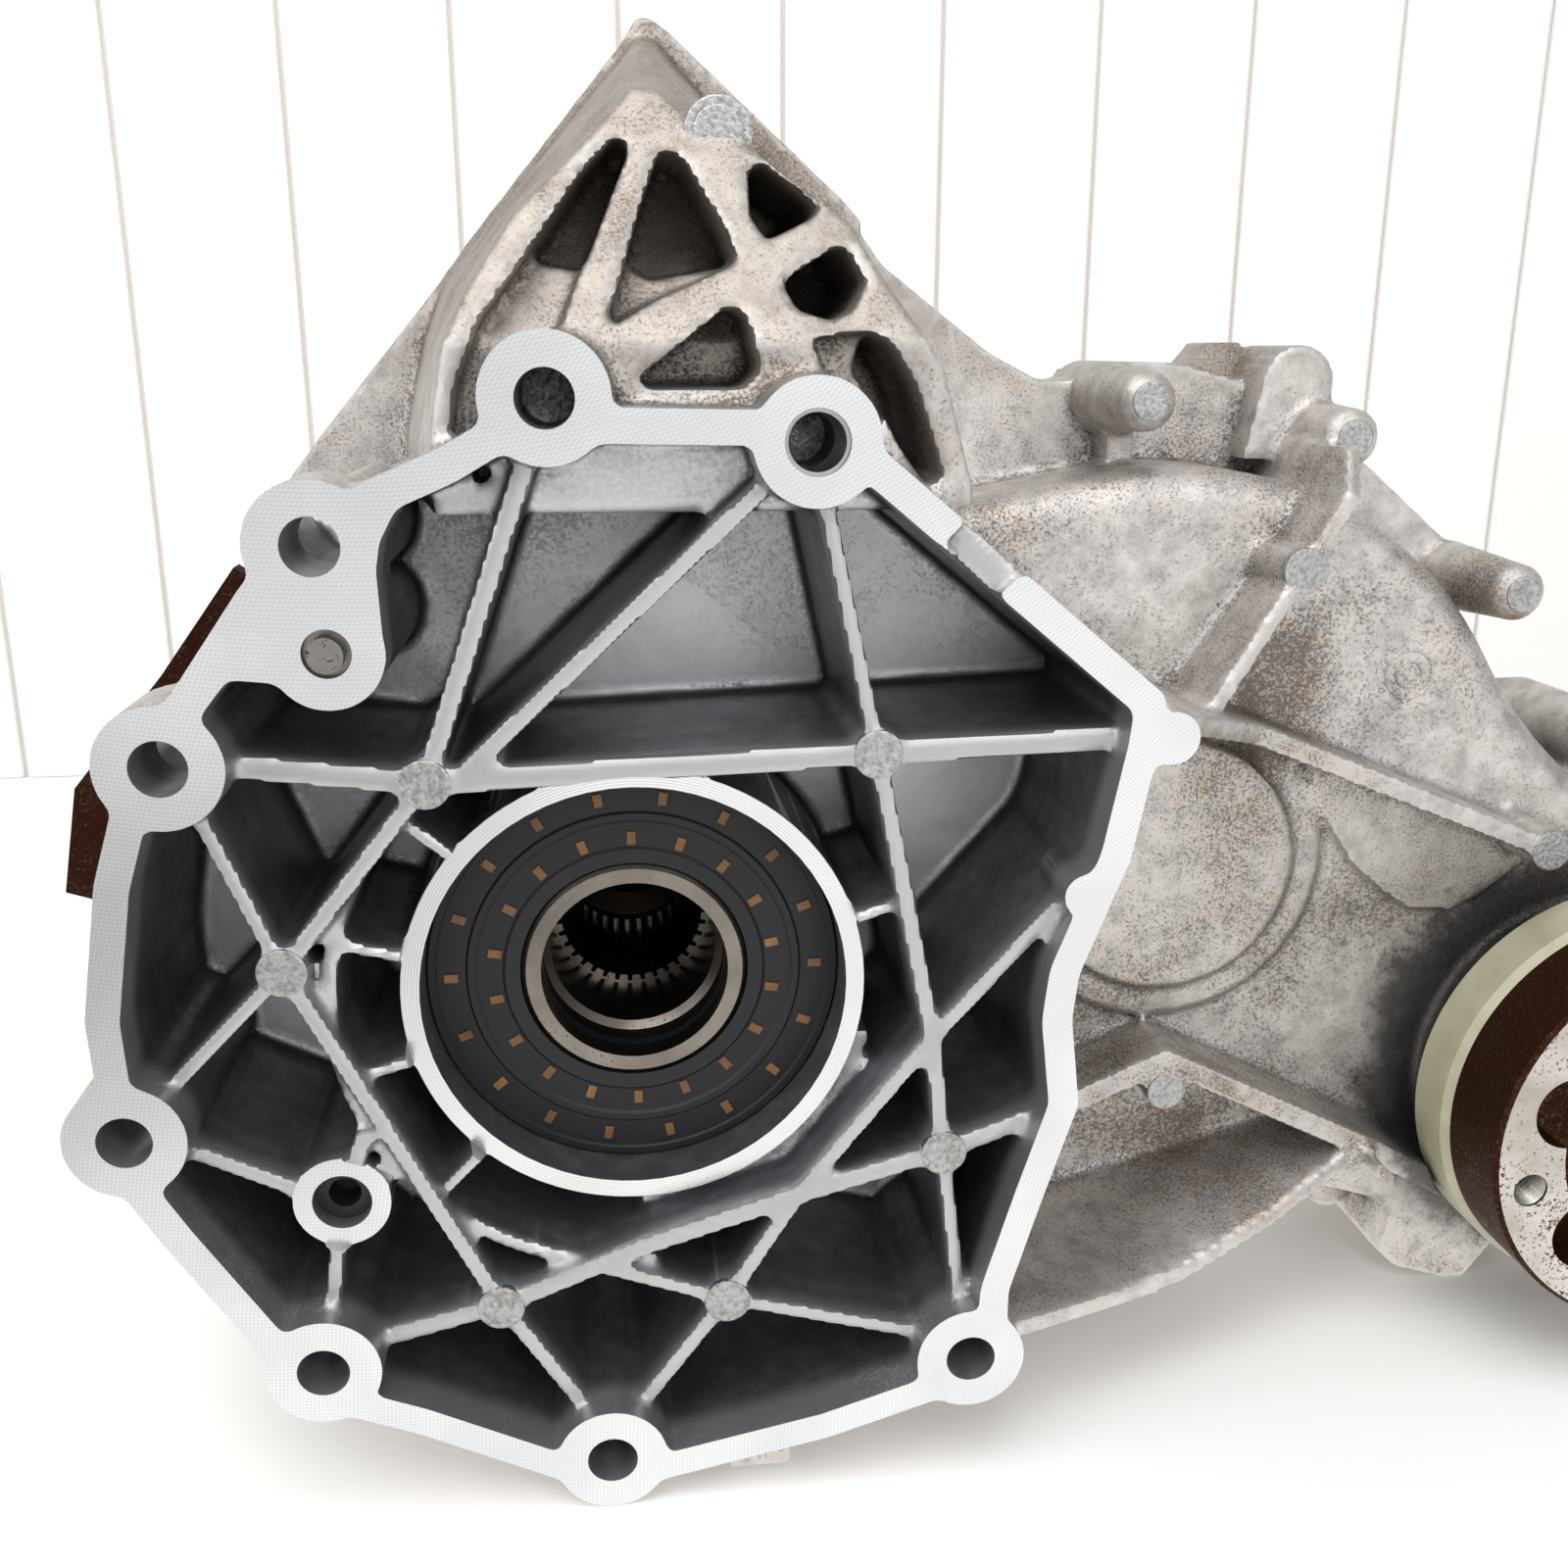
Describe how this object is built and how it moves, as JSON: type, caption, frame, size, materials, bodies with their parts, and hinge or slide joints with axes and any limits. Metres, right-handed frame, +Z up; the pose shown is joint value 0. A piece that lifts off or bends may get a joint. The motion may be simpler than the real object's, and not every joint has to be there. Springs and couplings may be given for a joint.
{
  "type": "transfer case",
  "caption": "All-wheel-drive transfer case: ribbed cast casing, straight main shaft with clutch and ball ramp, and a gear train across to the front output flange.",
  "frame": {"origin": "on the main axis, in the front end face of the input shaft", "axes": "+Y rearward along the main axis, +X across to the front output, +Z up"},
  "size_m": [0.4578, 0.251, 0.3216],
  "materials": {
    "cast_aluminium": "satin",
    "zinc_plated_steel": "satin",
    "black_rubber": "satin",
    "bearing_steel": "gloss",
    "brass": "satin",
    "gear_steel": "satin",
    "friction_lining": "matte",
    "rusty_steel": "matte",
    "ivory_plastic": "satin",
    "black_plastic": "satin",
    "motor_can": "satin"
  },
  "bodies": {
    "housing": {"front_housing": "cast_aluminium", "rear_housing": "cast_aluminium", "split_bolts": "zinc_plated_steel", "input_shaft_seal": "black_rubber", "input_snap_ring": "bearing_steel", "input_bearing_outer": "bearing_steel", "rear_bearing_outer": "bearing_steel", "rear_output_seal": "black_rubber", "idler_bearing_outers": "bearing_steel", "output_bearing_outers": "bearing_steel", "front_output_seal": "black_rubber", "dowel_sleeve": "bearing_steel", "locating_pin": "bearing_steel", "boss_plug": "black_plastic", "side_bracket": "rusty_steel", "bracket_bolt": "zinc_plated_steel", "breather": "zinc_plated_steel", "rear_thrust_bearing": "bearing_steel", "actuator_housing": "cast_aluminium", "actuator_motor": "motor_can", "actuator_connector": "black_plastic", "oil_plugs": "zinc_plated_steel", "plug_washers": "brass"},
    "main_shaft": {"main_shaft": "gear_steel", "mouth_o_ring": "black_rubber", "input_bearing_inner": "bearing_steel", "rear_bearing_inner": "bearing_steel", "clutch_hub": "gear_steel", "friction_plates": "friction_lining", "rear_output_flange": "rusty_steel", "rear_nut": "zinc_plated_steel"},
    "input_cage": {"input_bearing_balls": "bearing_steel", "input_bearing_cage": "brass"},
    "rear_balls": {"rear_bearing_balls": "bearing_steel"},
    "main_gear": {"main_gear": "gear_steel", "gear_needles": "bearing_steel", "clutch_drum": "gear_steel", "steel_plates": "gear_steel"},
    "idler": {"idler_gear": "gear_steel", "idler_bearing_inners": "bearing_steel"},
    "front_output": {"output_gear": "gear_steel", "output_bearing_inners": "bearing_steel", "front_output_flange": "rusty_steel", "output_dust_ring": "ivory_plastic", "front_output_nut": "zinc_plated_steel"},
    "pressure_plate": {"pressure_plate": "gear_steel"},
    "sliding_ring": {"sliding_ring": "gear_steel", "front_thrust_bearing": "bearing_steel"},
    "turning_ring": {"turning_ring": "gear_steel"},
    "ball_cage": {"ball_cage": "brass"},
    "ramp_balls": {"ramp_balls": "bearing_steel"},
    "actuator_pinion": {"actuator_pinion": "gear_steel"}
  },
  "joints": [
    {"name": "main_shaft_spin", "type": "hinge", "parent": "housing", "child": "main_shaft", "pos_m": [0, 0, 0], "axis": [0, 1, 0], "continuous": true},
    {"name": "main_gear_spin", "type": "hinge", "parent": "housing", "child": "main_gear", "pos_m": [0, 0.045, 0], "axis": [0, 1, 0], "continuous": true},
    {"name": "idler_spin", "type": "hinge", "parent": "housing", "child": "idler", "pos_m": [0.13175, 0.045, 0.00806], "axis": [0, 1, 0], "continuous": true},
    {"name": "front_output_spin", "type": "hinge", "parent": "housing", "child": "front_output", "pos_m": [0.25019, 0, -0.05022], "axis": [0, 1, 0], "continuous": true},
    {"name": "input_cage_spin", "type": "hinge", "parent": "housing", "child": "input_cage", "pos_m": [0, 0.022, 0], "axis": [0, 1, 0], "continuous": true},
    {"name": "rear_balls_spin", "type": "hinge", "parent": "housing", "child": "rear_balls", "pos_m": [0, 0.167, 0], "axis": [0, 1, 0], "continuous": true},
    {"name": "ramp_turn", "type": "hinge", "parent": "housing", "child": "turning_ring", "pos_m": [0, 0.139, 0], "axis": [0, -1, 0], "range_deg": [0, 36]},
    {"name": "ramp_travel", "type": "slide", "parent": "housing", "child": "sliding_ring", "axis": [0, -1, 0], "range_m": [0, 0.0015]},
    {"name": "ball_cage_turn", "type": "hinge", "parent": "housing", "child": "ball_cage", "pos_m": [0, 0.133, 0], "axis": [0, -1, 0], "range_deg": [0, 18]},
    {"name": "ball_travel", "type": "slide", "parent": "ball_cage", "child": "ramp_balls", "axis": [0, -1, 0], "range_m": [0, 0.00075]},
    {"name": "pressure_travel", "type": "slide", "parent": "main_gear", "child": "pressure_plate", "axis": [0, -1, 0], "range_m": [0, 0.0015]},
    {"name": "pinion_turn", "type": "hinge", "parent": "housing", "child": "actuator_pinion", "pos_m": [0, 0.139, 0.084], "axis": [0, -1, 0], "range_deg": [-153, 0]}
  ],
  "couplings": [
    {"joint": "idler_spin", "follows": "main_gear_spin", "ratio": -0.57143},
    {"joint": "front_output_spin", "follows": "main_gear_spin", "ratio": 1},
    {"joint": "input_cage_spin", "follows": "main_shaft_spin", "ratio": 0.4143},
    {"joint": "rear_balls_spin", "follows": "main_shaft_spin", "ratio": 0.4},
    {"joint": "ramp_travel", "follows": "ramp_turn", "m_per_rad": 0.002387},
    {"joint": "ball_cage_turn", "follows": "ramp_turn", "ratio": 0.5},
    {"joint": "ball_travel", "follows": "ramp_turn", "m_per_rad": 0.0011935},
    {"joint": "pressure_travel", "follows": "ramp_turn", "m_per_rad": 0.002387},
    {"joint": "pinion_turn", "follows": "ramp_turn", "ratio": -4.25}
  ]
}
